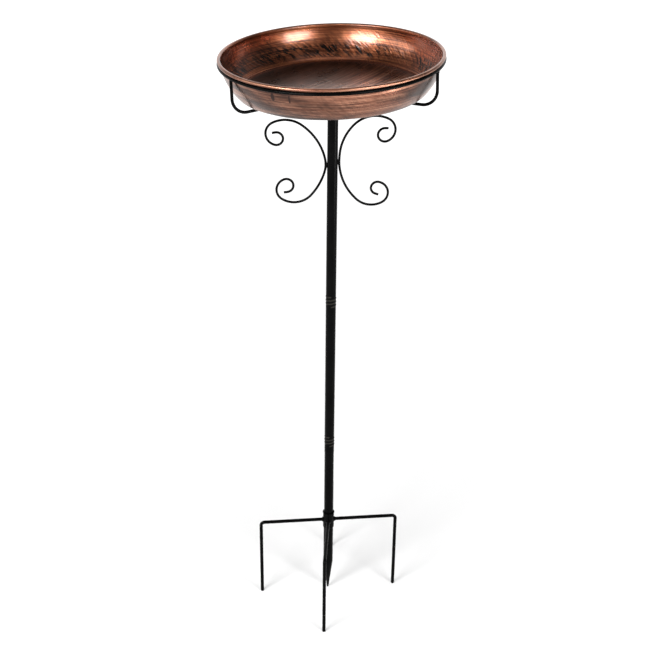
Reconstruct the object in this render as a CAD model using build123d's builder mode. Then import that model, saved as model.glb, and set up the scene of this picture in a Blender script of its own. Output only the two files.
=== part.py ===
"""Bird feeder on a pole: a rolled-rim dish in a wire cradle on a screw-together tube pole.

Frame: millimetres, +Z up along the pole, the ground at z = 0, -Y towards the front.
The origin is on the ground, on the pole's axis.
"""
from build123d import *
from math import cos, radians, sin, sqrt
import os

# ---- ground base -------------------------------------------------------------------
PRONG_REACH = 127.0  # pole axis to the centre of a prong's upright
PRONG_LEVEL = 162.5  # height of the prongs' level arms
PRONG_R = 3.175  # 6.35 mm rod
PRONG_BEND_R = 6.5  # to the rod's centre line
ROD_END_CHAMFER = 0.6
PRONG_AZIMUTHS = {"left": 186.2, "right": 6.2, "front": 267.2, "back": 87.2}
STAKE_R = 8.9
STAKE_TAPER = 64.0  # length of the pressed point
STAKE_TIP_R = 1.6
TIP_CHAMFER = 0.8
STAKE_PLUG = 10.0  # the point's solid part rises this far up the bore
STAKE_TOP = 174.5
COLLAR_R = 10.3
COLLAR_LIP_R = 11.1
COLLAR_LIP = 4.0  # height of the flared lip
COLLAR_WALL = 1.2  # at the lip
COLLAR_CHAMFER = 0.8
COLLAR_Z = (146.5, 180.0)

# ---- weld fillets round rods that meet a tube ------------------------------------------
WELD_FOOT = 1.9  # width against the tube
WELD_LENGTH = 4.5  # along the rod
WELD_TOE = 0.3  # thickness at the far end
WELD_ROOT = 3.0  # depth drawn inside the tube, then cut away

# ---- pole --------------------------------------------------------------------------
POLE_R = 8.7  # upper and middle lengths
LOWER_POLE_R = 8.45
TUBE_WALL = 1.0
FIT_GAP = 0.05  # radial play of every spigot in its socket
SPIGOT_R = POLE_R - TUBE_WALL - FIT_GAP
SPIGOT_WALL = 1.0
SPIGOT_CHAMFER = 0.7
SPIGOT_LENGTH = 45.0
TOP_SPIGOT_LENGTH = 28.0
BASE_SPIGOT_LENGTH = 60.0
SEAM_LOW = 315.0  # where the lower and middle lengths meet
SEAM_HIGH = 599.8  # where the middle and upper lengths meet
POLE_TOP = 958.0
THREAD_RISE = 21.4  # from the seam to the first rolled ridge
THREAD_PITCH = 6.4
THREAD_RIDGES = 3
RIDGE_HEIGHT = 0.5
RIDGE_WIDTH = 3.4

# ---- cradle and dish, on an axis that leans a little towards the left ---------------
CRADLE_LEAN = 1.935
LEAN_PIVOT = 945.4  # height where the leaning axis leaves the pole's axis
RIM_RISE = 108.8  # from the pivot to the centre of the rim bead
DISH_R = 177.8  # 14 inch dish, outside of the rim bead
BEAD_R = 2.9
SHEET = 1.0
COVE_R = 83.0  # outside of the dish's wall
COVE_DROP = 4.0  # top of the cove below the rim bead's centre
COVE_LEAN = radians(6)  # the wall's outward lean at the top of the cove
COVE_MIDDLE = radians(25)  # a point on the cove's arc, below the level of its centre
DISH_DEPTH = 54.0
RING_WIRE_R = 2.5
RING_R = 175.8
BODY_GAP = 0.3  # kept between curved faces of pieces that part
ARM_LEVEL = -62.0  # arms' level run, from the rim bead's centre
ARM_BEND_R = 25.0
ARM_AZIMUTHS = {"left": 211.5, "right": -24.5, "back": 93.5}
HUB_R = 9.6
HUB_TOP = 997.0
HUB_CROWN = 7.5  # solid thickness over the socket
HUB_CHAMFER = 1.0

# ---- scrolls: (bend radius, degrees) from the weld outwards, then a straight tip ----
SCROLL_WIRE_R = 2.0
SCROLL_YAW = 3.0
SCROLL_GAP = 0.3  # between wire and pole, bridged by the weld
SCROLL_WELD_LENGTH = 9.0
SCROLL_WELD_R = 2.1
SCROLLS = {
    "left": (
        873.0,
        [(51, 13.4), (97, 40.9), (45.5, 61), (20, 137.6), (10.7, 206.6)],
        [(42.5, 15.1), (104.5, 25.8), (36.5, 83.3), (19.3, 122.6), (11.4, 197.7)],
    ),
    "right": (
        878.2,
        [(138, 6.8), (80, 37.5), (47.5, 71.3), (20.8, 128.1), (11.3, 206.6)],
        [(71, 6.4), (94, 40.4), (35.7, 69.7), (19.3, 142.5), (10.5, 172.7)],
    ),
}
SCROLL_TIP = 5.3

CUT_HEIGHT = 2500.0  # round cutters run past both ends of the feeder

os.makedirs("parts", exist_ok=True)


def save(piece, name):
    piece.part.label = name
    export_step(piece.part, f"parts/{name}.step")
    return piece.part


def radial_plane(azimuth):
    """Upright plane through the pole's axis: x outwards at the azimuth, y up."""
    turn = radians(azimuth)
    return Plane(origin=(0, 0, 0), x_dir=(cos(turn), sin(turn), 0), z_dir=(sin(turn), -cos(turn), 0))


def turned(outline):
    """Solid with the given closed (radius, height) outline, turned about the pole's axis."""
    with BuildPart() as lathe_work:
        with BuildSketch(Plane.XZ):
            with BuildLine():
                Polyline(*outline, close=True)
            make_face()
        revolve(axis=Axis.Z)
    return lathe_work


def bar_section(path, radius):
    """Round section of a wire or rod, square to the start of its path."""
    with BuildSketch(Plane(origin=path.wire() @ 0, z_dir=path.wire() % 0)) as section:
        Circle(radius)
    return section.sketch


def rod_welds(azimuths, plane_at, level, rod_r, tube_r):
    """One tapered fillet round each level rod, where the rod meets an upright tube."""
    with BuildPart() as fillets:
        for azimuth in azimuths:
            plane = plane_at(azimuth)
            with BuildSketch(plane):
                with BuildLine():
                    Polyline(
                        (tube_r - WELD_ROOT, level + rod_r),
                        (tube_r - WELD_ROOT, level + rod_r + WELD_FOOT),
                        (tube_r + WELD_TOE, level + rod_r + WELD_FOOT),
                        (tube_r + WELD_LENGTH, level + rod_r + WELD_TOE),
                        (tube_r + WELD_LENGTH, level + rod_r),
                        close=True,
                    )
                make_face()
            revolve(axis=Axis(plane.from_local_coords((0, level, 0)), plane.x_dir))
        Cylinder(tube_r, CUT_HEIGHT, mode=Mode.SUBTRACT)
    return fillets


# ---- the leaning axis ---------------------------------------------------------------
lean = radians(CRADLE_LEAN)
lean_dir = Vector(-sin(lean), 0, cos(lean))
rim_centre = Vector(0, 0, LEAN_PIVOT) + lean_dir * RIM_RISE
rim_axis = Axis(rim_centre, lean_dir)
rim_plane = Plane(origin=rim_centre, x_dir=(cos(lean), 0, sin(lean)), z_dir=lean_dir)


def cradle_plane(azimuth):
    """Plane through the leaning axis: x outwards at the azimuth, y up the axis."""
    turn = radians(azimuth)
    outwards = rim_plane.x_dir * cos(turn) + rim_plane.y_dir * sin(turn)
    return Plane(origin=rim_centre, x_dir=outwards, z_dir=outwards.cross(lean_dir))


# ---- dish: flat floor, hollow-curved wall, rolled rim bead ----------------------------
wall_in = DISH_R - 2 * BEAD_R
wall_out = wall_in + SHEET


def cove(radius, floor):
    """Foot, middle and top of the wall's arc of this radius above the given floor."""
    centre_r = wall_out - COVE_R * cos(COVE_LEAN)
    centre_z = COVE_R * sin(COVE_LEAN) - COVE_DROP
    foot = (centre_r + sqrt(radius**2 - (floor - centre_z) ** 2), floor)
    middle = (centre_r + radius * cos(COVE_MIDDLE), centre_z - radius * sin(COVE_MIDDLE))
    return foot, middle, (centre_r + radius * cos(COVE_LEAN), centre_z - radius * sin(COVE_LEAN))


outer_cove = cove(COVE_R, -DISH_DEPTH)
inner_cove = cove(COVE_R - SHEET, SHEET - DISH_DEPTH)
with BuildPart() as dish:
    with BuildSketch(cradle_plane(0)):
        with BuildLine():
            Polyline(inner_cove[0], (0, SHEET - DISH_DEPTH), (0, -DISH_DEPTH), outer_cove[0])
            ThreePointArc(*outer_cove)
            Polyline(outer_cove[2], (wall_out, 0), (wall_in, 0), inner_cove[2])
            ThreePointArc(*inner_cove)
        make_face()
        with Locations((wall_in + BEAD_R, 0)):
            Circle(BEAD_R)
    revolve(axis=rim_axis)
save(dish, "dish")

# ---- cradle: ring under the rim bead, three J-shaped arms, hub on the pole's top -----
bead_offset = RING_R - (DISH_R - BEAD_R)
ring_drop = sqrt((BEAD_R + RING_WIRE_R + BODY_GAP) ** 2 - bead_offset**2)
with BuildPart() as cradle_ring:
    with BuildSketch(cradle_plane(0)):
        with Locations((RING_R, -ring_drop)):
            Circle(RING_WIRE_R)
    revolve(axis=rim_axis)
save(cradle_ring, "cradle_ring")

cradle_hub = turned(
    [
        (SPIGOT_R + FIT_GAP, POLE_TOP),
        (HUB_R, POLE_TOP),
        (HUB_R, HUB_TOP - HUB_CHAMFER),
        (HUB_R - HUB_CHAMFER, HUB_TOP),
        (0, HUB_TOP),
        (0, HUB_TOP - HUB_CROWN),
        (SPIGOT_R + FIT_GAP, HUB_TOP - HUB_CROWN),
    ]
)
save(cradle_hub, "cradle_hub")

for side, azimuth in ARM_AZIMUTHS.items():
    with BuildPart() as arm:
        with BuildLine(cradle_plane(azimuth)) as arm_path:
            bend_top = ARM_LEVEL + ARM_BEND_R
            Line((RING_R, -ring_drop), (RING_R, bend_top))
            bend = JernArc((RING_R, bend_top), (0, -1), ARM_BEND_R, -90)
            Line(bend @ 1, bend @ 1 + (bend % 1) * (RING_R - ARM_BEND_R))
        sweep(bar_section(arm_path, RING_WIRE_R), path=arm_path.wire())
        add(cradle_ring.part, mode=Mode.SUBTRACT)
        Cylinder(HUB_R, CUT_HEIGHT, mode=Mode.SUBTRACT)
    save(arm, f"cradle_arm_{side}")

hub_welds = rod_welds(ARM_AZIMUTHS.values(), cradle_plane, ARM_LEVEL, RING_WIRE_R, HUB_R)
save(hub_welds, "hub_welds")


# ---- pole lengths ---------------------------------------------------------------------
def pole_length(low, high, radius, spigot_up, spigot_down=0.0, ridged=True):
    """Tube from low to high, with a reduced spigot above it.

    Its foot is an open socket with rolled ridges round it, or a second spigot.
    """
    spigot_top = high + spigot_up
    spigot_foot = low - spigot_down
    bore = radius - TUBE_WALL
    spigot_bore = SPIGOT_R - SPIGOT_WALL
    neck = 2 * SPIGOT_WALL  # solid shoulder between tube and spigot
    with BuildPart() as tube:
        with BuildSketch(Plane.XZ):
            with BuildLine():
                outline = [(radius, low)]
                if ridged:
                    for ridge in range(THREAD_RIDGES):
                        middle = low + THREAD_RISE + ridge * THREAD_PITCH
                        lower, upper = middle - RIDGE_WIDTH / 2, middle + RIDGE_WIDTH / 2
                        Line(outline[-1], (radius, lower))
                        ThreePointArc((radius, lower), (radius + RIDGE_HEIGHT, middle), (radius, upper))
                        outline.append((radius, upper))
                Polyline(
                    outline[-1],
                    (radius, high),
                    (SPIGOT_R, high),
                    (SPIGOT_R, spigot_top - SPIGOT_CHAMFER),
                    (SPIGOT_R - SPIGOT_CHAMFER, spigot_top),
                    (spigot_bore, spigot_top),
                    (spigot_bore, high - neck),
                    (bore, high - 2 * neck),
                )
                if spigot_down:
                    Polyline(
                        (bore, high - 2 * neck),
                        (bore, low + 2 * neck),
                        (spigot_bore, low + neck),
                        (spigot_bore, spigot_foot),
                        (SPIGOT_R - SPIGOT_CHAMFER, spigot_foot),
                        (SPIGOT_R, spigot_foot + SPIGOT_CHAMFER),
                        (SPIGOT_R, low),
                        (radius, low),
                    )
                else:
                    Polyline((bore, high - 2 * neck), (bore, low), (radius, low))
            make_face()
        revolve(axis=Axis.Z)
    return tube


pole_lower = pole_length(
    STAKE_TOP, SEAM_LOW, LOWER_POLE_R, SPIGOT_LENGTH, BASE_SPIGOT_LENGTH, ridged=False
)
pole_middle = pole_length(SEAM_LOW, SEAM_HIGH, POLE_R, SPIGOT_LENGTH)
pole_upper = pole_length(SEAM_HIGH, POLE_TOP, POLE_R, TOP_SPIGOT_LENGTH)
save(pole_lower, "pole_lower")
save(pole_middle, "pole_middle")
save(pole_upper, "pole_upper")

# ---- scrolls: one bent wire each, welded to the pole at the middle of the C ------------
scroll_plane = radial_plane(SCROLL_YAW)
scroll_x = POLE_R + SCROLL_GAP + SCROLL_WIRE_R
scrolls = {}
for side, (weld_z, bends_up, bends_down) in SCROLLS.items():
    outwards = 1 if side == "right" else -1
    with BuildPart() as scroll:
        for heading, bends in ((1, bends_up), (-1, bends_down)):
            with BuildLine(scroll_plane) as wire:
                turn = -outwards * heading
                corner = (outwards * scroll_x, weld_z)
                direction = (0, heading)
                for bend_radius, degrees in bends:
                    bend = JernArc(corner, direction, bend_radius, turn * degrees)
                    corner, direction = bend @ 1, bend % 1
                Line(corner, corner + direction * SCROLL_TIP)
            sweep(bar_section(wire, SCROLL_WIRE_R), path=wire.wire())
    scrolls[side] = save(scroll, f"scroll_{side}")

with BuildPart() as scroll_welds:
    for side, (weld_z, _, _) in SCROLLS.items():
        outwards = 1 if side == "right" else -1
        x = outwards * (POLE_R + SCROLL_GAP / 2)
        centre = scroll_plane.from_local_coords((x, weld_z, 0))
        with Locations(Location(centre)):
            Cylinder(SCROLL_WELD_R, SCROLL_WELD_LENGTH)
    Cylinder(POLE_R, CUT_HEIGHT, mode=Mode.SUBTRACT)
    for scroll_part in scrolls.values():
        add(scroll_part, mode=Mode.SUBTRACT)
save(scroll_welds, "scroll_welds")

# ---- ground base ------------------------------------------------------------------------
stake_bore = SPIGOT_R + FIT_GAP
ground_stake = turned(
    [
        (0, 0),
        (STAKE_TIP_R - TIP_CHAMFER, 0),
        (STAKE_TIP_R, TIP_CHAMFER),
        (STAKE_R, STAKE_TAPER),
        (STAKE_R, STAKE_TOP),
        (stake_bore, STAKE_TOP),
        (stake_bore, STAKE_TAPER + STAKE_PLUG),
        (0, STAKE_TAPER),
    ]
)
save(ground_stake, "ground_stake")

base_collar = turned(
    [
        (STAKE_R, COLLAR_Z[0]),
        (COLLAR_R - COLLAR_CHAMFER, COLLAR_Z[0]),
        (COLLAR_R, COLLAR_Z[0] + COLLAR_CHAMFER),
        (COLLAR_R, COLLAR_Z[1] - COLLAR_LIP),
        (COLLAR_LIP_R, COLLAR_Z[1]),
        (COLLAR_LIP_R - COLLAR_WALL, COLLAR_Z[1]),
        (STAKE_R, COLLAR_Z[1] - COLLAR_LIP),
    ]
)
save(base_collar, "base_collar")

for side, azimuth in PRONG_AZIMUTHS.items():
    with BuildPart() as prong:
        with BuildLine(radial_plane(azimuth)) as rod:
            Line((COLLAR_R - 1, PRONG_LEVEL), (PRONG_REACH - PRONG_BEND_R, PRONG_LEVEL))
            bend = JernArc((PRONG_REACH - PRONG_BEND_R, PRONG_LEVEL), (1, 0), PRONG_BEND_R, -90)
            Line(bend @ 1, (PRONG_REACH, 0))
        sweep(bar_section(rod, PRONG_R), path=rod.wire())
        chamfer(prong.faces().sort_by(Axis.Z)[0].edges(), ROD_END_CHAMFER)
        Cylinder(COLLAR_R, CUT_HEIGHT, mode=Mode.SUBTRACT)
    save(prong, f"prong_{side}")

base_welds = rod_welds(PRONG_AZIMUTHS.values(), radial_plane, PRONG_LEVEL, PRONG_R, COLLAR_R)
save(base_welds, "base_welds")
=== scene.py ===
"""Bird feeder on pole: a spun copper dish in a black powder-coated steel stand.

Shapes are worked out in millimetres and go into the meshes in metres, in the frame of
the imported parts: +Z up the pole, the ground at z = 0, -Y towards the front.
"""

import bpy
import numpy as np
from mathutils import Matrix


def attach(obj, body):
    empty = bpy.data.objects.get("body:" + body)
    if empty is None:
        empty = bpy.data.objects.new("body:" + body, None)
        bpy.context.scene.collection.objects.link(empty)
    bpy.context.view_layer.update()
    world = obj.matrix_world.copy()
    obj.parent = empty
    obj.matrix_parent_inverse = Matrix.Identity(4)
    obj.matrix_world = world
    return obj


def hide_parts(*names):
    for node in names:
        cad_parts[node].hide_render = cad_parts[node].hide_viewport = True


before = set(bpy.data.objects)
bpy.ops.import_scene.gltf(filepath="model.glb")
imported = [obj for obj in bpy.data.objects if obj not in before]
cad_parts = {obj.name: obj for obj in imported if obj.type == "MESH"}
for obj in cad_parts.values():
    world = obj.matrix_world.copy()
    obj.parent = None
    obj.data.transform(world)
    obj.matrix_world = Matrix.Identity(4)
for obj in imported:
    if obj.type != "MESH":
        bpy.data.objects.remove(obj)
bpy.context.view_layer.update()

# ---- sizes of the parts, in millimetres -------------------------------------------------
PRONG_REACH, PRONG_LEVEL, PRONG_R, PRONG_BEND_R = 127.0, 162.5, 3.175, 6.5
PRONG_AZIMUTHS = {"left": 186.2, "right": 6.2, "front": 267.2, "back": 87.2}
STAKE_R, STAKE_TAPER, STAKE_TIP_R, STAKE_PLUG, STAKE_TOP = 8.9, 64.0, 1.6, 10.0, 174.5
COLLAR_R, COLLAR_LIP_R, COLLAR_LIP, COLLAR_WALL, COLLAR_Z = 10.3, 11.1, 4.0, 1.2, (146.5, 180.0)
COLLAR_SINK = 0.2  # the collar's bore dips this far into the stake's tube
POLE_R, LOWER_POLE_R, SPIGOT_R, TUBE_WALL, FIT_GAP = 8.7, 8.45, 7.65, 1.0, 0.05
SOCKET_R = SPIGOT_R + FIT_GAP
SPIGOT_LENGTH, TOP_SPIGOT_LENGTH, BASE_SPIGOT_LENGTH = 45.0, 28.0, 60.0
SEAM_LOW, SEAM_HIGH, POLE_TOP = 315.0, 599.8, 958.0
THREAD_RISE, THREAD_PITCH, THREAD_TURNS, RIDGE_HEIGHT, RIDGE_WIDTH = 21.4, 6.4, 3, 0.5, 3.6
THREAD_WEAR = 0.14  # share of bare steel on the crests
LEAN, LEAN_PIVOT, RIM_RISE = np.radians(1.935), 945.4, 108.8
DISH_R, BEAD_R, SHEET, DISH_DEPTH = 177.8, 2.9, 1.0, 54.0
COVE_R, COVE_DROP, COVE_LEAN = 83.0, 4.0, 6.0
WAVER = 0.04  # each of the three waves in the dish's wall
RING_R, RING_WIRE_R, BODY_GAP = 175.8, 2.5, 0.3
ARM_LEVEL, ARM_BEND_R = -62.0, 25.0
ARM_AZIMUTHS = {"left": 211.5, "right": -24.5, "back": 93.5}
HUB_R, HUB_TOP, HUB_CROWN, HUB_HOLE_R = 9.6, 997.0, 7.5, 0.5
ROD_INSET = 1.0  # the arms and prongs run this far into the hub and the collar
WELD_FOOT, WELD_LENGTH, WELD_ROOT = 1.9, 4.5, 3.0
WELD_SINK = 0.3  # a weld's thin end dips this far into its rod
SCROLL_WIRE_R, SCROLL_YAW, SCROLL_GAP, SCROLL_TIP = 2.0, 3.0, 0.3, 5.3
# each scroll: height of its weld, then (bend radius, degrees) upwards and downwards from it
SCROLLS = {
    "left": (
        873.0,
        [(51, 13.4), (97, 40.9), (45.5, 61), (20, 137.6), (10.7, 206.6)],
        [(42.5, 15.1), (104.5, 25.8), (36.5, 83.3), (19.3, 122.6), (11.4, 197.7)],
    ),
    "right": (
        878.2,
        [(138, 6.8), (80, 37.5), (47.5, 71.3), (20.8, 128.1), (11.3, 206.6)],
        [(71, 6.4), (94, 40.4), (35.7, 69.7), (19.3, 142.5), (10.5, 172.7)],
    ),
}
# the two weld beads of a scroll: how far back, how far up, radius, half length
SCROLL_BEADS = ((-1.0, 0.0, 2.1, 4.6), (1.0, -0.6, 2.0, 4.2))
BEAD_OUT = 0.4  # from the pole's surface to the middle of a bead

# ---- sizes of the dish's patterns -------------------------------------------------------
UNROLL_R = 175.0  # distances round the dish are true at this radius, in millimetres
STROKE_CENTRE, STROKE_R = (-350.0, 330.0), 480.0  # the floor's strokes are arcs about it
# painted dark reflections: degrees round the dish, then half width and half length in millimetres
DARK_REFLECTIONS = ((-120.0, 3.2, 7.5), (-110.8, 1.8, 8.5))
# from here on, metres along the section, from the middle of the floor and over the rim
FLOOR_EDGE = (0.140, 0.146)
INSIDE_END = (0.206, 0.214)
BELOW_BEAD = (0.222, 0.225)
DARK_REFLECTION_MIDDLE = 0.238
RAMP_LENGTH = 0.45  # ramps and shares of the section are over this length
RAGGED = 0.003  # how much of the wobble, 0 to 1, goes into the painted reflections' coordinates

UP, RIGHT = np.array([0.0, 0.0, 1.0]), np.array([1.0, 0.0, 0.0])
lean_axis = np.array([-np.sin(LEAN), 0.0, np.cos(LEAN)])
lean_x = np.array([np.cos(LEAN), 0.0, np.sin(LEAN)])
rim_centre = LEAN_PIVOT * UP + RIM_RISE * lean_axis
wall_in = DISH_R - 2 * BEAD_R
wall_out = wall_in + SHEET
ring_drop = np.sqrt((BEAD_R + RING_WIRE_R + BODY_GAP) ** 2 - (RING_R - DISH_R + BEAD_R) ** 2)


# ---- curves -----------------------------------------------------------------------------
def arc(centre, radius, start, end, count):
    """Circle arc in a plane: centre plus radius times (cosine, sine) of an even angle."""
    angle = np.radians(np.linspace(start, end, count))
    return np.array(centre) + radius * np.stack([np.cos(angle), np.sin(angle)], axis=1)


def bent_path(start, heading, runs, step=1.2):
    """Straight runs and tangent bends in a plane, each run given as (length, turn).

    The heading is the running sum of the turn, and the position is the running sum of
    chords, each as long as its arc times sin(h)/h for half its turn h.
    """
    length, turn = np.array(runs, float).T
    turn = np.radians(turn)
    count = np.ceil(np.maximum(length / step, np.abs(turn) / 0.07)).astype(int)
    each, bend = np.repeat(length / count, count), np.repeat(turn / count, count)
    along = np.radians(heading) + np.cumsum(bend) - bend / 2
    chord = each * np.sinc(bend / (2 * np.pi))
    steps = np.stack([chord * np.cos(along), chord * np.sin(along)], axis=1)
    return np.vstack([[start], np.array(start) + np.cumsum(steps, axis=0)])


def softened(outline, radius):
    """Outline with each corner replaced by a quadratic curve from one side to the other.

    The curve's ends lie the radius away from the corner, or 0.45 of the side's length.
    """
    corner = np.array(outline, float)
    t = np.linspace(0, 1, 5)[:, None, None]
    ends = []
    for other in (np.roll(corner, 1, axis=0), np.roll(corner, -1, axis=0)):
        side = other - corner
        size = np.linalg.norm(side, axis=1, keepdims=True)
        ends.append(corner + side / size * np.minimum(radius, 0.45 * size))
    curve = (1 - t) ** 2 * ends[0] + 2 * t * (1 - t) * corner + t**2 * ends[1]
    return curve.transpose(1, 0, 2).reshape(-1, 2)


def radial(azimuth, x_dir=RIGHT, axis=UP):
    """Unit vector at an azimuth round an axis, counted from the x direction."""
    turn = np.radians(azimuth)
    return np.cos(turn) * x_dir + np.sin(turn) * np.cross(axis, x_dir)


# ---- surfaces: rows of points that run round, and close at their ends or in a loop --------
def wire(path, origin, across, up, radius, end=0.4, around=20):
    """Round bar along a flat path: every row is a circle square to the path.

    At an end the row moves in by e(1 - cos t) while its radius grows as R - e + e sin t.
    """
    distance = np.r_[0, np.cumsum(np.linalg.norm(np.diff(path, axis=0), axis=1))]
    t = np.linspace(0, np.pi / 2, 4)
    lead, swell = end * (1 - np.cos(t)), radius - end + end * np.sin(t)
    middle = distance[(distance > end * 1.5) & (distance < distance[-1] - end * 1.5)]
    place = np.r_[0, lead, middle, (distance[-1] - lead)[::-1], distance[-1]]
    size = np.r_[0, swell, np.full(len(middle), radius), swell[::-1], 0]
    slope = np.unwrap(np.arctan2(*np.gradient(path, axis=0).T[::-1]))
    x, y = (np.interp(place, distance, path[:, k])[:, None] for k in (0, 1))
    heading = np.interp(place, distance, slope)[:, None]
    angle = np.linspace(0, 2 * np.pi, around, endpoint=False)
    out, side = size[:, None] * np.cos(angle), size[:, None] * np.sin(angle)
    flat_x, flat_y = x - out * np.sin(heading), y + out * np.cos(heading)
    face = np.cross(across, up)
    grid = flat_x[..., None] * across + flat_y[..., None] * up + side[..., None] * face
    return origin + grid, False


def turned(outline, around=96, origin=(0, 0, 0), across=RIGHT, axis=UP, loop=False):
    """Surface of revolution: each (radius, height) of the outline goes round the axis."""
    angle = np.linspace(0, 2 * np.pi, around, endpoint=False)
    ring = np.cos(angle)[:, None] * across + np.sin(angle)[:, None] * np.cross(axis, across)
    outline = np.array(outline, float)
    rows = outline[:, :1, None] * ring + outline[:, 1:, None] * axis
    return np.array(origin, float) + rows, loop


def weld_fillet(level, rod_r, tube_r, origin, across, up, seed):
    """Weld round a rod where it meets a tube: the radius falls off as the power 1.7 from
    the foot to the rod, with three uneven lumps of the bead round it.
    """
    x = np.linspace(0, 1, 12)[:, None]
    angle = np.linspace(0, 2 * np.pi, 28, endpoint=False)
    lumps = 1 + 0.16 * np.sin(3 * angle + seed) + 0.10 * np.sin(5 * angle - 2 * seed)
    size = rod_r - WELD_SINK + (WELD_FOOT * lumps + WELD_SINK) * (1 - x) ** 1.7
    root = tube_r - WELD_ROOT
    place = np.r_[root, root, tube_r + WELD_LENGTH * x[:, 0], tube_r + WELD_LENGTH]
    size = np.vstack([np.zeros_like(angle), size[:1], size, np.zeros_like(angle)])
    out = place[:, None, None] * across + level * up
    ring = np.cos(angle)[:, None] * up + np.sin(angle)[:, None] * np.cross(across, up)
    return origin + out + size[..., None] * ring, False


def weld_bead(centre, along, radius, half, seed):
    """Weld run: an ellipsoid stretched along the joint, with ripples of the solidified pool."""
    t = np.linspace(0, np.pi, 24)
    ripple = 1 + 0.10 * np.sin(7 * t + seed)
    outline = np.stack([radius * np.sin(t) ** 0.7 * ripple, -half * np.cos(t)], axis=1)
    outline[[0, -1], 0] = 0
    return turned(outline, 20, centre, RIGHT, along)


def surface_faces(grid, loop, first):
    """Faces of one closed surface, with outward normals, for points numbered from first.

    Quads join each row to the next. A row that has shrunk to a point becomes one vertex
    with a fan of triangles. The signed volume, a third of the sum of each triangle's
    centre times its area vector, turns the faces outwards.
    """
    rows, columns = grid.shape[:2]
    index = first + np.arange(rows * columns).reshape(rows, columns)
    if not loop:
        index[0], index[-1] = index[0, 0], index[-1, 0]
    index = np.hstack([index, index[:, :1]])
    index = np.vstack([index, index[:1]]) if loop else index
    a, b, c, d = index[:-1, :-1], index[:-1, 1:], index[1:, 1:], index[1:, :-1]
    triangles = np.vstack([np.stack(t, -1).reshape(-1, 3) for t in ((a, b, c), (a, c, d))])
    p, q, r = (grid.reshape(-1, 3)[triangles[:, k] - first] for k in range(3))
    turn = 1 if np.einsum("ij,ij->", p, np.cross(q, r)) > 0 else -1
    quads = np.stack([a, b, c, d], -1)[:, :, ::turn]
    if loop:
        return quads.reshape(-1, 4).tolist()
    low = np.stack([a[0], c[0], d[0]], -1)[:, ::turn]
    high = np.stack([a[-1], b[-1], c[-1]], -1)[:, ::turn]
    return low.tolist() + high.tolist() + quads[1:-1].reshape(-1, 4).tolist()


def piece(name, body, nodes, material, *surfaces, sharp=35, **attributes):
    """One mesh from closed surfaces, which rides on a body for the named nodes. The
    attributes are vectors at the surfaces' points.
    """
    points, faces = [], []
    for grid, loop in surfaces:
        faces += surface_faces(grid, loop, sum(len(each) for each in points))
        points.append(grid.reshape(-1, 3))
    points = np.vstack(points) / 1000
    used = np.unique(np.concatenate([np.ravel(face) for face in faces]))
    renumber = np.zeros(len(points), int)
    renumber[used] = np.arange(len(used))
    mesh = bpy.data.meshes.new(name)
    mesh.from_pydata(points[used].tolist(), [], [renumber[face].tolist() for face in faces])
    for key, value in attributes.items():
        stored = mesh.attributes.new(key, "FLOAT_VECTOR", "POINT")
        stored.data.foreach_set("vector", np.ravel(value.reshape(-1, 3)[used]))
    mesh.shade_smooth()
    mesh.set_sharp_from_angle(angle=np.radians(sharp))
    mesh.materials.append(material)
    made = bpy.data.objects.new(name, mesh)
    bpy.context.scene.collection.objects.link(made)
    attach(made, body)
    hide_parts(*nodes)


# ---- materials ----------------------------------------------------------------------------
def linear(colour):
    """Linear RGBA of an sRGB hex colour, each channel taken back through the sRGB curve."""
    channel = np.array([int(colour[k : k + 2], 16) for k in (1, 3, 5)]) / 255
    low, high = channel / 12.92, ((channel + 0.055) / 1.055) ** 2.4
    return (*np.where(channel <= 0.04045, low, high).tolist(), 1.0)


def grey(value):
    """Opaque grey of a linear value."""
    return (value, value, value, 1.0)


def add(tree, kind, inputs=(), stops=(), **settings):
    """Adds a shader node with its settings, and its sockets' values or links, in order."""
    node = tree.nodes.new(kind)
    for key, value in settings.items():
        setattr(node, key, value)
    for key, value in dict(inputs).items():
        if isinstance(value, bpy.types.NodeSocket):
            tree.links.new(value, node.inputs[key])
        else:
            node.inputs[key].default_value = value
    for k, (place, colour) in enumerate(stops):
        elements = node.color_ramp.elements
        element = elements[k] if k < 2 else elements.new(place)
        element.position, element.color = place, colour
    return node


def rub_marks(tree, spun, strokes, on_floor):
    """Marks 1.4 mm wide and 90 mm long round the wall, as fine as they can show, and
    strokes 4 mm wide and 110 mm long over the floor, with more contrast.
    """
    wall_at = add(tree, "ShaderNodeMapping", {"Vector": spun, "Scale": (11, 11, 720)}).outputs[0]
    wall = add(tree, "ShaderNodeTexNoise", {0: wall_at, "Scale": 1.0, "Detail": 3.0}).outputs[0]
    floor_at = add(tree, "ShaderNodeMapping", {"Vector": strokes, "Scale": (230, 9, 1)}).outputs[0]
    floor = add(tree, "ShaderNodeTexNoise", {0: floor_at, "Scale": 1.0, "Detail": 3.0}).outputs[0]
    deep = add(
        tree, "ShaderNodeMapRange", {"Value": floor, 1: 0.33, 2: 0.63, 3: 0.25, 4: 0.72}
    ).outputs[0]
    return add(tree, "ShaderNodeMix", {0: on_floor, 2: wall, 3: deep}).outputs[0]


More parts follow.
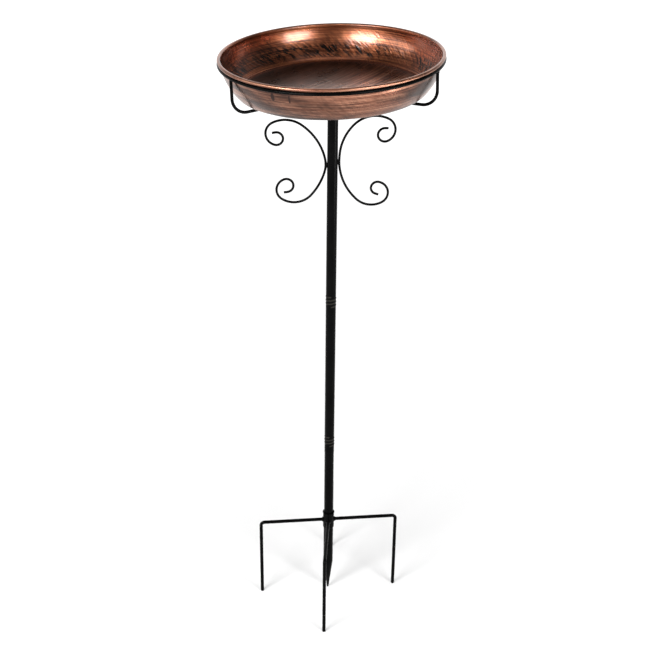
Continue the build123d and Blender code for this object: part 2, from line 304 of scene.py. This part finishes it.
def hammering(tree, beaten, spun, share, wobble):
    """Planishing dents 5 mm wide and 10 mm long, their cells pushed about by the wobble.

    Returns their height and the amount of black left in them.
    """
    # strongest low on the wall, fading towards the rim
    hammered = add(
        tree,
        "ShaderNodeValToRGB",
        {0: share},
        [(0.0, grey(0.05)), (0.338, grey(0.05)), (0.354, grey(1.0)), (0.388, grey(1.0)),
         (0.405, grey(0.50)), (0.455, grey(0.15)), (0.50, grey(0.10)), (0.56, grey(0.35)),
         (0.62, grey(0.30)), (0.70, grey(0.15))],
    ).outputs[0]
    shifted = add(
        tree, "ShaderNodeMix", {0: 0.006, 6: beaten, 7: wobble}, data_type="RGBA"
    ).outputs[2]
    cells_at = add(
        tree, "ShaderNodeMapping", {"Vector": shifted, "Scale": (190, 190, 105)}
    ).outputs[0]
    cells = add(tree, "ShaderNodeTexVoronoi", {0: cells_at, "Scale": 1.0}).outputs
    # most dents keep black in their deeper part
    kept = add(tree, "ShaderNodeSeparateColor", {0: cells["Color"]}).outputs[0]
    kept = add(
        tree, "ShaderNodeMapRange", {"Value": kept, 1: 0.15, 2: 0.45, 3: 0.0, 4: 1.0}
    ).outputs[0]
    pooled = add(
        tree, "ShaderNodeMapRange", {"Value": cells["Distance"], 1: 0.42, 2: 0.80, 3: 1.0, 4: 0.0}
    ).outputs[0]
    # the dark dents come and go round the wall, over about 80 mm
    patchy = add(tree, "ShaderNodeTexNoise", {0: spun, "Scale": 13.0, "Detail": 2.0}).outputs[0]
    patchy = add(
        tree, "ShaderNodeMapRange", {"Value": patchy, 1: 0.36, 2: 0.54, 3: 0.4, 4: 1.0}
    ).outputs[0]
    black = kept
    for factor in (pooled, hammered, patchy):
        black = add(tree, "ShaderNodeMath", {0: black, 1: factor}, operation="MULTIPLY").outputs[0]
    height = add(
        tree, "ShaderNodeMath", {0: cells["Distance"], 1: hammered}, operation="MULTIPLY"
    ).outputs[0]
    return height, black


def copper_tone(tree, rub, strokes, share, on_floor, is_inside):
    """Bare copper on the crests of the rub marks and brown oxide between them, redder under
    the lacquer inside than on the weathered outside. The floor's strokes run from black to
    bright, and painted shade darkens it on one side and round its edge, standing in for
    the dim reflections that it shows there.
    """
    outside = add(
        tree,
        "ShaderNodeValToRGB",
        {0: rub},
        [(0.32, linear("#3c231b")), (0.47, linear("#845441")), (0.66, linear("#b8866c"))],
    ).outputs[0]
    inside = add(
        tree,
        "ShaderNodeValToRGB",
        {0: rub},
        [(0.32, linear("#33180c")), (0.47, linear("#84462a")), (0.66, linear("#b36c46"))],
    ).outputs[0]
    stroked = add(
        tree,
        "ShaderNodeValToRGB",
        {0: rub},
        [(0.25, linear("#26140d")), (0.48, linear("#92593f")), (0.70, linear("#d6a283"))],
    ).outputs[0]
    tone = add(
        tree, "ShaderNodeMix", {0: is_inside, 6: outside, 7: inside}, data_type="RGBA"
    ).outputs[2]
    tone = add(
        tree, "ShaderNodeMix", {0: on_floor, 6: tone, 7: stroked}, data_type="RGBA"
    ).outputs[2]
    # painted shade: the floor darker towards one side and in a ring at the foot of the wall,
    # standing in for dim reflections
    side = add(tree, "ShaderNodeSeparateXYZ", {0: strokes}).outputs["X"]
    side = add(
        tree, "ShaderNodeMapRange", {"Value": side, 1: 0.43, 2: 0.58, 3: 0.85, 4: 0.0}
    ).outputs[0]
    edge = add(
        tree, "ShaderNodeMapRange", {"Value": share, 1: 0.27, 2: 0.315, 3: 0.0, 4: 0.75}
    ).outputs[0]
    dark = add(tree, "ShaderNodeMath", {0: side, 1: edge}, operation="MAXIMUM").outputs[0]
    dark = add(tree, "ShaderNodeMath", {0: dark, 1: on_floor}, operation="MULTIPLY").outputs[0]
    return add(
        tree, "ShaderNodeMix", {0: dark, 6: tone, 7: linear("#1c0f0a")}, data_type="RGBA"
    ).outputs[2]


def stains_and_painted_reflections(tree, spun, section, wobble):
    """Dark stains outside, 110 mm long and 20 mm high, and painted dark reflections by the ring."""
    stains_at = add(
        tree,
        "ShaderNodeMapping",
        {"Vector": spun, "Location": (1.3, 2.2, 0.7), "Scale": (9, 9, 50)},
    ).outputs[0]
    dark = add(tree, "ShaderNodeTexNoise", {0: stains_at, "Scale": 1.0, "Detail": 3.0}).outputs[0]
    dark = add(
        tree, "ShaderNodeMapRange", {"Value": dark, 1: 0.46, 2: 0.62, 3: 0.0, 4: 0.85}
    ).outputs[0]
    ragged = add(
        tree, "ShaderNodeMix", {0: RAGGED, 6: spun, 7: wobble}, data_type="RGBA"
    ).outputs[2]
    # painted reflections: two small dark ellipses below the ring, painted into the colour
    for azimuth, half_width, half_length in DARK_REFLECTIONS:
        size = np.array([half_width, half_width, half_length]) / 1000
        middle = UNROLL_R / 1000 * radial(azimuth) + DARK_REFLECTION_MIDDLE * UP
        middle = (1 - RAGGED) * middle + RAGGED / 2  # where the wobble moves it on average
        painted_reflection_at = add(
            tree,
            "ShaderNodeMapping",
            {"Vector": ragged, "Location": (-middle / size).tolist(), "Scale": (1 / size).tolist()},
        ).outputs[0]
        away = add(tree, "ShaderNodeVectorMath", {0: painted_reflection_at}, operation="LENGTH").outputs["Value"]
        painted_reflection = add(
            tree, "ShaderNodeMapRange", {"Value": away, 1: 0.8, 2: 1.3, 3: 1.0, 4: 0.0}
        ).outputs[0]
        dark = add(tree, "ShaderNodeMath", {0: dark, 1: painted_reflection}, operation="MAXIMUM").outputs[0]
    start, full = BELOW_BEAD
    below_bead = add(
        tree, "ShaderNodeMapRange", {"Value": section, 1: start, 2: full, 3: 0.0, 4: 1.0}
    ).outputs[0]
    return add(tree, "ShaderNodeMath", {0: dark, 1: below_bead}, operation="MULTIPLY").outputs[0]


def antique_copper():
    """Spun copper sheet, blackened and rubbed back: a warm metal with dark left in its dents.

    Rub marks follow the spinning, a fine satin grain frays the highlights, and a clear
    lacquer lays whiter highlights over the metal's own, most of all on the inner wall.
    """
    material = bpy.data.materials.new("antique_copper")
    material.use_nodes = True
    tree = material.node_tree
    shader = tree.nodes["Principled BSDF"]
    spun, beaten, strokes = (
        add(tree, "ShaderNodeAttribute", attribute_name=name).outputs["Vector"]
        for name in ("spun", "beaten", "strokes")
    )
    place = add(tree, "ShaderNodeTexCoord").outputs["Object"]
    section = add(tree, "ShaderNodeSeparateXYZ", {0: spun}).outputs["Z"]
    share = add(
        tree, "ShaderNodeMath", {0: section, 1: 1 / RAMP_LENGTH}, operation="MULTIPLY"
    ).outputs[0]
    on_floor, is_inside = (
        add(
            tree, "ShaderNodeMapRange", {"Value": section, 1: start, 2: end, 3: 1.0, 4: 0.0}
        ).outputs[0]
        for start, end in (FLOOR_EDGE, INSIDE_END)
    )
    rub = rub_marks(tree, spun, strokes, on_floor)
    # satin grain 1.5 mm across, cloudy patina 35 mm across, and a wobble every 8 mm
    grain = add(tree, "ShaderNodeTexNoise", {0: place, "Scale": 650.0, "Detail": 2.0}).outputs[0]
    cloud = add(
        tree, "ShaderNodeTexNoise", {0: place, "Scale": 28.0, "Detail": 4.0, "Roughness": 0.6}
    ).outputs[0]
    wobble = add(
        tree, "ShaderNodeTexNoise", {0: beaten, "Scale": 120.0, "Detail": 1.0}
    ).outputs[1]
    dents, black = hammering(tree, beaten, spun, share, wobble)

    colour = copper_tone(tree, rub, strokes, share, on_floor, is_inside)
    clouded = add(
        tree, "ShaderNodeMapRange", {"Value": cloud, 1: 0.42, 2: 0.70, 3: 0.0, 4: 0.55}
    ).outputs[0]
    # the stains and the painted dark reflections take one dark brown
    stain_and_reflection_mask = stains_and_painted_reflections(tree, spun, section, wobble)
    for amount, tone in ((clouded, "#53301f"), (stain_and_reflection_mask, "#2b1812"), (black, "#150b07")):
        colour = add(
            tree, "ShaderNodeMix", {0: amount, 6: colour, 7: linear(tone)}, data_type="RGBA"
        ).outputs[2]

    satin = add(
        tree, "ShaderNodeMapRange", {"Value": cloud, 1: 0.3, 2: 0.7, 3: 0.24, 4: 0.36}
    ).outputs[0]
    # the rolled bead is handled most, so it is duller
    on_bead = add(
        tree,
        "ShaderNodeValToRGB",
        {0: share},
        [(0.455, grey(0.0)), (0.460, grey(1.0)), (0.487, grey(1.0)), (0.492, grey(0.0))],
    ).outputs[0]
    roughness = add(tree, "ShaderNodeMix", {0: on_bead, 2: satin, 3: 0.42}).outputs[0]
    dented = add(
        tree, "ShaderNodeBump", {"Height": dents, "Strength": 1.0, "Distance": 0.00035}
    ).outputs[0]
    rubbed = add(
        tree,
        "ShaderNodeBump",
        {"Height": rub, "Strength": 0.5, "Distance": 0.00008, "Normal": dented},
    ).outputs[0]
    normal = add(
        tree,
        "ShaderNodeBump",
        {"Height": grain, "Strength": 0.7, "Distance": 0.0001, "Normal": rubbed},
    ).outputs[0]
    # lacquer: thin on the floor and outside, full on the inner wall
    lacquer = add(
        tree, "ShaderNodeMapRange", {"Value": share, 1: 0.33, 2: 0.40, 3: 0.35, 4: 0.8}
    ).outputs[0]
    lacquer = add(tree, "ShaderNodeMix", {0: is_inside, 2: 0.3, 3: lacquer}).outputs[0]
    shader.inputs["Metallic"].default_value = 1.0
    shader.inputs["Coat Roughness"].default_value = 0.2
    links = {"Base Color": colour, "Roughness": roughness, "Normal": normal}
    for key, value in {**links, "Coat Weight": lacquer, "Coat Normal": rubbed}.items():
        tree.links.new(value, shader.inputs[key])
    return material


def black_powder_coat():
    """Steel under baked black powder: satin black, with the coat's slight orange peel, and
    a little bare steel where screwing the lengths together has rubbed the thread crests.
    """
    material = bpy.data.materials.new("black_powder_coat")
    material.use_nodes = True
    tree = material.node_tree
    shader = tree.nodes["Principled BSDF"]
    place = add(tree, "ShaderNodeTexCoord").outputs["Object"]
    # orange peel 1.5 mm across, and dust and handling marks 25 mm across
    peel = add(tree, "ShaderNodeTexNoise", {0: place, "Scale": 650.0, "Detail": 2.0}).outputs[0]
    marks = add(
        tree, "ShaderNodeTexNoise", {0: place, "Scale": 40.0, "Detail": 5.0, "Roughness": 0.65}
    ).outputs[0]
    black = add(
        tree,
        "ShaderNodeValToRGB",
        {0: marks},
        [(0.35, linear("#020202")), (0.62, linear("#040404")), (0.80, linear("#090808"))],
    ).outputs[0]
    worn = add(tree, "ShaderNodeAttribute", attribute_name="worn").outputs["Fac"]
    colour = add(
        tree, "ShaderNodeMix", {0: worn, 6: black, 7: linear("#6b675f")}, data_type="RGBA"
    ).outputs[2]
    roughness = add(
        tree, "ShaderNodeMapRange", {"Value": marks, 1: 0.3, 2: 0.75, 3: 0.22, 4: 0.36}
    ).outputs[0]
    normal = add(
        tree, "ShaderNodeBump", {"Height": peel, "Strength": 0.4, "Distance": 0.00006}
    ).outputs[0]
    shader.inputs["IOR"].default_value = 1.5
    shader.inputs["Specular IOR Level"].default_value = 0.035
    links = {"Base Color": colour, "Metallic": worn, "Roughness": roughness, "Normal": normal}
    for key, value in links.items():
        tree.links.new(value, shader.inputs[key])
    return material


copper = antique_copper()
powder = black_powder_coat()


# ---- dish ---------------------------------------------------------------------------------
def dish_section():
    """Closed section of the sheet from the middle of the floor, up the inside, round the
    rolled rim and back under: straight floor, hollow-curved wall, bead, wall, floor.

    The wall is an arc that starts from the floor where its height over its centre is the
    radius times the sine, and ends where it still leans out a little.
    """
    tilt = np.radians(COVE_LEAN)
    centre = (wall_out - COVE_R * np.cos(tilt), COVE_R * np.sin(tilt) - COVE_DROP)
    inner_floor, outer_floor = SHEET - DISH_DEPTH, -DISH_DEPTH
    foot = [
        np.degrees(np.arcsin((floor - centre[1]) / radius))
        for radius, floor in ((COVE_R - SHEET, inner_floor), (COVE_R, outer_floor))
    ]
    inner = arc(centre, COVE_R - SHEET, foot[0], -COVE_LEAN, 50)
    outer = arc(centre, COVE_R, -COVE_LEAN, foot[1], 50)
    under = -np.degrees(np.arccos((wall_out - wall_in - BEAD_R) / BEAD_R))
    bead = arc((wall_in + BEAD_R, 0), BEAD_R, 180, under, 30)
    t = np.linspace(0, 1, 6)[:, None]
    fold = 2.0  # the floor turns up over this length
    spread = np.linspace(0, inner[0, 0] - fold, 26)
    floor_in = np.stack([spread, np.full(26, inner_floor)], axis=1)
    turn_in = (1 - t) ** 2 * floor_in[-1] + 2 * t * (1 - t) * inner[0] + t**2 * inner[2]
    spread = np.linspace(outer[-1, 0] - fold, 0, 26)
    floor_out = np.stack([spread, np.full(26, outer_floor)], axis=1)
    turn_out = (1 - t) ** 2 * outer[-3] + 2 * t * (1 - t) * outer[-1] + t**2 * floor_out[0]
    lip = np.linspace(inner[-1], bead[0], 4)[1:-1]
    return np.vstack(
        [floor_in[:-1], turn_in[:-1], inner[2:], lip, bead, outer[:-3], turn_out, floor_out[1:]]
    )


def dish_patterns(grid, angle, along):
    """Coordinates for the dish's patterns, in metres at each point of the grid.

    spun is a circle round the dish with the distance along the section as its height,
    beaten is the same with the circle turned further along the section, so that the
    hammer marks lean at 45 degrees, and strokes is (distance, arc length) about a far point.
    """
    height = np.broadcast_to(along[:, None], grid.shape[:2])
    patterns = {}
    for name, turn in (("spun", angle + 0 * height), ("beaten", angle - height / UNROLL_R)):
        circle = [UNROLL_R * np.cos(turn), UNROLL_R * np.sin(turn)]
        patterns[name] = np.stack([*circle, height], axis=-1) / 1000
    flat = (grid - rim_centre) @ np.stack([lean_x, [0, 1, 0]], axis=1)
    far = flat - STROKE_CENTRE
    distance, turn = np.linalg.norm(far, axis=2), np.arctan2(far[..., 1], far[..., 0])
    strokes = np.stack([distance, STROKE_R * turn, 0 * turn], axis=-1)
    return {**patterns, "strokes": strokes / 1000}


def dish():
    """The section turned round the leaning axis, with a slow waver of the wall.

    The waver is a sum of three sines of the angle and the distance along the section,
    0.12 mm at most, faded out at the bead and the middle of the floor. It moves points
    straight away from a point 20 mm under the middle of the rim.
    """
    around = 520
    section = dish_section()
    grid, loop = turned(section, around, rim_centre, lean_x, lean_axis)
    angle = np.linspace(0, 2 * np.pi, around, endpoint=False)
    along = np.r_[0, np.cumsum(np.linalg.norm(np.diff(section, axis=0), axis=1))]
    depth = np.abs(along - along[np.argmax(section[:, 1])])[:, None]
    waves = (
        np.sin(9 * angle + depth / 11)
        + np.sin(14 * angle - depth / 8 + 1.3)
        + np.sin(23 * angle + depth / 6 + 0.4)
    )
    fade = np.clip((depth - 16) / 12, 0, 1) * np.clip(section[:, :1] / 60, 0, 1)
    outwards = grid - (rim_centre - 20 * lean_axis)
    outwards /= np.linalg.norm(outwards, axis=2, keepdims=True)
    grid = grid + (WAVER * waves * fade)[..., None] * outwards
    patterns = dish_patterns(grid, angle, along)
    piece("copper_dish", "dish", ["dish"], copper, (grid, loop), **patterns)


# ---- cradle -------------------------------------------------------------------------------
def cradle():
    """The ring that the rim hangs on, three bent arms with their welds, and the socket cup."""
    ring_section = arc((RING_R, -ring_drop), RING_WIRE_R, 0, 345, 24)
    piece(
        "rim_ring", "cradle", ["cradle_ring"], powder,
        turned(ring_section, 360, rim_centre, lean_x, lean_axis, loop=True),
    )
    runs = [
        (-ring_drop - ARM_LEVEL - ARM_BEND_R, 0),
        (ARM_BEND_R * np.pi / 2, -90),
        (RING_R - ARM_BEND_R - HUB_R + ROD_INSET, 0),
    ]
    path = bent_path((RING_R, -ring_drop), -90, runs)
    welds = []
    for seed, (side, azimuth) in enumerate(ARM_AZIMUTHS.items()):
        outwards = radial(azimuth, lean_x, lean_axis)
        piece(
            f"arm_{side}", "cradle", [f"cradle_arm_{side}"], powder,
            wire(path, rim_centre, outwards, lean_axis, RING_WIRE_R, around=24),
        )
        welds.append(
            weld_fillet(ARM_LEVEL, RING_WIRE_R, HUB_R, rim_centre, outwards, lean_axis, seed)
        )
    piece("arm_welds", "cradle", ["hub_welds"], powder, *welds)
    cup = [
        (SOCKET_R, POLE_TOP), (HUB_R, POLE_TOP), (HUB_R, HUB_TOP), (HUB_HOLE_R, HUB_TOP),
        (HUB_HOLE_R, HUB_TOP - HUB_CROWN), (SOCKET_R, HUB_TOP - HUB_CROWN),
    ]
    cup = turned(softened(cup, 0.9), 72, loop=True)
    piece("socket_cup", "cradle", ["cradle_hub"], powder, cup)


# ---- pole ---------------------------------------------------------------------------------
def thread(angle, height, low):
    """Rolled thread: a raised cosine ridge on a helix, of three turns that fade in and out.

    The turn number is the height over the pitch less the angle over a full turn, and the
    ridge is cos^2 of the distance to the nearest whole turn.
    """
    turn = (height - low - THREAD_RISE) / THREAD_PITCH - angle / (2 * np.pi) + 0.5
    off = np.abs(turn - np.round(turn)) * THREAD_PITCH
    ridge = np.cos(np.clip(off / RIDGE_WIDTH, 0, 0.5) * np.pi) ** 2
    first, last, over = -0.55, THREAD_TURNS - 0.45, 0.35  # turns
    fade = np.clip((turn - first) / over, 0, 1) * np.clip((last - turn) / over, 0, 1)
    return RIDGE_HEIGHT * ridge * fade


def pole_length(low, high, radius, spigot_up, spigot_down=0.0, threaded=True):
    """Tube with a reduced spigot on top, a socket or a second spigot below, turned edges,
    and the rolled thread added to the outside radius. With it comes the wear, which grows
    with the height of the thread.
    """
    bore, spigot_bore = radius - TUBE_WALL, SPIGOT_R - TUBE_WALL
    near, far = 2, 4  # the bore narrows between these distances inside a shoulder
    outline = [
        (radius, high), (SPIGOT_R, high), (SPIGOT_R, high + spigot_up),
        (spigot_bore, high + spigot_up), (spigot_bore, high - near), (bore, high - far),
    ]
    if spigot_down:
        outline += [
            (bore, low + far), (spigot_bore, low + near), (spigot_bore, low - spigot_down),
            (SPIGOT_R, low - spigot_down), (SPIGOT_R, low), (radius, low),
        ]
    else:
        outline += [(bore, low), (radius, low)]
    edges = softened(outline, 0.9)
    rise = low + THREAD_RISE - THREAD_PITCH
    fine = np.arange(rise, rise + THREAD_PITCH * (THREAD_TURNS + 2), 0.4) if threaded else []
    heights = np.r_[low + 2, fine, np.linspace(low + 60, high - 2, 20)]
    section = np.vstack([edges, np.stack([np.full(len(heights), radius), heights], axis=1)])
    grid, loop = turned(section, loop=True)
    worn = np.zeros_like(grid)
    if threaded:
        angle = np.arctan2(grid[..., 1], grid[..., 0])
        angle = np.where(angle < -np.pi / 2, angle + 2 * np.pi, angle)
        outside = np.arange(len(section))[:, None] >= len(edges)
        raised = thread(angle, grid[..., 2], low) * outside
        grid[..., :2] *= (1 + raised / radius)[..., None]
        worn += (THREAD_WEAR * raised / RIDGE_HEIGHT)[..., None]
    return (grid, loop), worn


def pole():
    """The three lengths, each on its own body."""
    lengths = {
        "lower": (
            STAKE_TOP, SEAM_LOW, LOWER_POLE_R, SPIGOT_LENGTH, BASE_SPIGOT_LENGTH, False,
        ),
        "middle": (SEAM_LOW, SEAM_HIGH, POLE_R, SPIGOT_LENGTH),
        "upper": (SEAM_HIGH, POLE_TOP, POLE_R, TOP_SPIGOT_LENGTH),
    }
    for part, sizes in lengths.items():
        tube, worn = pole_length(*sizes)
        piece(f"pole_tube_{part}", f"{part}_length", [f"pole_{part}"], powder, tube, worn=worn)


# ---- scrolls ------------------------------------------------------------------------------
def scrolls():
    """Two C-shaped wires, each bent up and down from its weld, and their weld beads."""
    yawed = radial(SCROLL_YAW)
    welds = []
    for seed, (side, (weld_z, bends_up, bends_down)) in enumerate(SCROLLS.items()):
        outwards = 1 if side == "right" else -1
        start = (outwards * (POLE_R + SCROLL_GAP + SCROLL_WIRE_R), weld_z)
        halves = []
        for heading, bends in ((1, bends_up), (-1, bends_down)):
            turn = -outwards * heading
            runs = [(np.radians(degrees) * r, turn * degrees) for r, degrees in bends]
            halves.append(bent_path(start, 90 * heading, [*runs, (SCROLL_TIP, 0)], 1.0))
        path = np.vstack([halves[0][::-1], halves[1][1:]])
        piece(
            f"scroll_wire_{side}", "upper_length", [f"scroll_{side}"], powder,
            wire(path, np.zeros(3), yawed, UP, SCROLL_WIRE_R, end=0.25),
        )
        at = outwards * (POLE_R + BEAD_OUT) * yawed + weld_z * UP
        for k, (back, rise, radius, half) in enumerate(SCROLL_BEADS):
            welds.append(weld_bead(at + [0, back, rise], UP, radius, half, seed + 2 * k))
    piece("scroll_weld_beads", "upper_length", ["scroll_welds"], powder, *welds)


# ---- ground base --------------------------------------------------------------------------
def stake_and_collar():
    """The pointed tube with its solid point, and the collar with its flared lip."""
    swell, edge = 4.0, 0.5  # the point's shoulder and the tube's end are rounded over these
    stake = [
        (0.0, 0.0), (0.9, 0.0), (STAKE_TIP_R, 1.0), (STAKE_R - 0.5, STAKE_TAPER - swell),
        (STAKE_R - 0.1, STAKE_TAPER), (STAKE_R, STAKE_TAPER + swell),
        (STAKE_R, STAKE_TOP - edge), (STAKE_R - 0.4, STAKE_TOP), (SOCKET_R + 0.1, STAKE_TOP),
        (SOCKET_R, STAKE_TOP - edge), (SOCKET_R, STAKE_TAPER + STAKE_PLUG), (0.0, STAKE_TAPER),
    ]
    piece("stake", "base", ["ground_stake"], powder, turned(stake, 72))
    bottom, top = COLLAR_Z
    inside = STAKE_R - COLLAR_SINK
    collar = [
        (inside, bottom), (COLLAR_R, bottom), (COLLAR_R, top - COLLAR_LIP),
        (COLLAR_LIP_R, top), (COLLAR_LIP_R - COLLAR_WALL, top), (inside, top - COLLAR_LIP),
    ]
    piece("collar", "base", ["base_collar"], powder, turned(softened(collar, 0.8), loop=True))


def prongs():
    """Four rods that run out from the collar and bend down to the ground, and their welds."""
    runs = [
        (PRONG_REACH - PRONG_BEND_R - COLLAR_R + ROD_INSET, 0),
        (PRONG_BEND_R * np.pi / 2, -90),
        (PRONG_LEVEL - PRONG_BEND_R, 0),
    ]
    path = bent_path((COLLAR_R - ROD_INSET, PRONG_LEVEL), 0, runs)
    origin = np.zeros(3)
    welds = []
    for seed, (side, azimuth) in enumerate(PRONG_AZIMUTHS.items(), start=len(ARM_AZIMUTHS) + 1):
        outwards = radial(azimuth)
        piece(
            f"prong_rod_{side}", "base", [f"prong_{side}"], powder,
            wire(path, origin, outwards, UP, PRONG_R, end=0.6, around=28),
        )
        welds.append(weld_fillet(PRONG_LEVEL, PRONG_R, COLLAR_R, origin, outwards, UP, seed))
    piece("collar_welds", "base", ["base_welds"], powder, *welds)


# ---- studio ---------------------------------------------------------------------------------
def stage_floor():
    """Pale matt floor, a disc 9 m in radius. It glows a little, and more away from the
    object, so that it stays pale where the lamps fall off.
    """
    grid, _ = turned([(9000, 0)], 64)
    mesh = bpy.data.meshes.new("floor")
    mesh.from_pydata((grid[0] / 1000).tolist(), [], [list(range(64))])
    paint = bpy.data.materials.new("matt_white_floor")
    paint.use_nodes = True
    tree = paint.node_tree
    shader = tree.nodes["Principled BSDF"]
    shader.inputs["Base Color"].default_value = linear("#bcbcbc")
    shader.inputs["Roughness"].default_value = 0.9
    shader.inputs["Specular IOR Level"].default_value = 0.0
    shader.inputs["Emission Color"].default_value = linear("#ffffff")
    place = add(tree, "ShaderNodeTexCoord").outputs["Object"]
    reach = add(tree, "ShaderNodeVectorMath", {0: place}, operation="LENGTH").outputs["Value"]
    glow = add(
        tree, "ShaderNodeMapRange", {"Value": reach, 1: 0.1, 2: 3.0, 3: 0.28, 4: 0.97}
    ).outputs[0]
    tree.links.new(glow, shader.inputs["Emission Strength"])
    mesh.materials.append(paint)
    floor = bpy.data.objects.new("floor", mesh)
    bpy.context.scene.collection.objects.link(floor)


def softbox(
    name, azimuth, elevation, distance, width, height, radiance, glossy=True, diffuse=True
):
    """Area light that faces the dish, with its power from the wanted radiance:
    pi times the area times the radiance. Azimuth 0 is straight in front, and grows
    towards the right. Without glossy it shows in no reflection, and without diffuse in
    nothing else.
    """
    light = bpy.data.lights.new(name, "AREA")
    light.shape, light.size, light.size_y = "RECTANGLE", width, height
    light.energy = np.pi * width * height * radiance
    made = bpy.data.objects.new(name, light)
    bpy.context.scene.collection.objects.link(made)
    a, e = np.radians(azimuth), np.radians(elevation)
    back = np.array([np.sin(a) * np.cos(e), -np.cos(a) * np.cos(e), np.sin(e)])
    side = np.cross(UP, back)
    side = side / np.linalg.norm(side)
    place = np.eye(4)
    place[:3, :3] = np.stack([side, np.cross(back, side), back], axis=1)
    place[:3, 3] = rim_centre / 1000 + distance * back
    made.matrix_world = Matrix(place.tolist())
    made.visible_camera, made.visible_glossy, made.visible_diffuse = False, glossy, diffuse


def lamps():
    """Two key boxes that make the highlights on the wall, fills, a strip for the pole's right
    side, and two small lamps that cast the prongs' crossing shadows.
    """
    softbox("key_left", -39, 17, 2.3, 1.1, 0.8, 27.0)
    softbox("key_right", 38, 11, 2.3, 1.05, 0.65, 22.0)
    softbox("overhead", 0, 72, 1.9, 2.2, 0.5, 1.2)
    softbox("fill_left", -78, 14, 2.6, 2.4, 0.7, 3.4)
    softbox("strip_right", 62, -14, 1.5, 0.3, 0.9, 16.0, diffuse=False)
    for turn in (-44, 44):
        softbox(f"floor_light_{turn}", turn, 32, 2.6, 0.45, 0.45, 30.0, glossy=False)


def studio_world():
    """White surroundings for sight and soft light, and for reflections a pale backdrop
    behind the object that falls off to a dim room in front.
    """
    world = bpy.data.worlds.new("studio")
    bpy.context.scene.world = world
    world.use_nodes = True
    tree = world.node_tree
    tree.nodes.clear()
    direction = add(tree, "ShaderNodeTexCoord").outputs["Generated"]
    y = add(tree, "ShaderNodeSeparateXYZ", {0: direction}).outputs["Y"]
    depth = add(
        tree, "ShaderNodeMapRange", {"Value": y, 1: -1.0, 2: 1.0, 3: 0.0, 4: 1.0}
    ).outputs[0]
    room = add(
        tree,
        "ShaderNodeValToRGB",
        {0: depth},
        [(0.0, grey(0.04)), (0.5, grey(0.10)), (0.78, grey(0.45)), (0.95, grey(1.7))],
    ).outputs[0]
    seen = add(tree, "ShaderNodeBackground", {0: grey(1.0), 1: 1.0}).outputs[0]
    soft = add(tree, "ShaderNodeBackground", {0: grey(1.0), 1: 0.35}).outputs[0]
    mirrored = add(tree, "ShaderNodeBackground", {0: room, 1: 1.0}).outputs[0]
    ray = add(tree, "ShaderNodeLightPath").outputs
    lit = add(
        tree, "ShaderNodeMixShader", {0: ray["Is Glossy Ray"], 1: soft, 2: mirrored}
    ).outputs[0]
    mixed = add(tree, "ShaderNodeMixShader", {0: ray["Is Camera Ray"], 1: lit, 2: seen}).outputs[0]
    add(tree, "ShaderNodeOutputWorld", {0: mixed})


def camera():
    """Camera 1.93 m in front and 1.62 m up, pitched 28 degrees down, with a 71 mm lens."""
    pitch, yaw, roll = 0.4946, -0.0073, 0.0077
    ahead = np.array([np.sin(yaw) * np.cos(pitch), np.cos(yaw) * np.cos(pitch), -np.sin(pitch)])
    right = np.array([np.cos(yaw), -np.sin(yaw), 0.0])
    up = np.cross(right, ahead)
    rolled_right = np.cos(roll) * right + np.sin(roll) * up
    rolled_up = np.cos(roll) * up - np.sin(roll) * right
    place = np.eye(4)
    place[:3, :3] = np.stack([rolled_right, rolled_up, -ahead], axis=1)
    place[:3, 3] = (0, -1.93138, 1.62426)
    data = bpy.data.cameras.new("camera")
    data.sensor_width, data.lens, data.clip_end = 36.0, 70.884, 60.0
    made = bpy.data.objects.new("camera", data)
    made.matrix_world = Matrix(place.tolist())
    bpy.context.scene.collection.objects.link(made)
    bpy.context.scene.camera = made


dish()
cradle()
pole()
scrolls()
stake_and_collar()
prongs()
stage_floor()
lamps()
studio_world()
camera()
bpy.context.scene.view_settings.view_transform = "Standard"
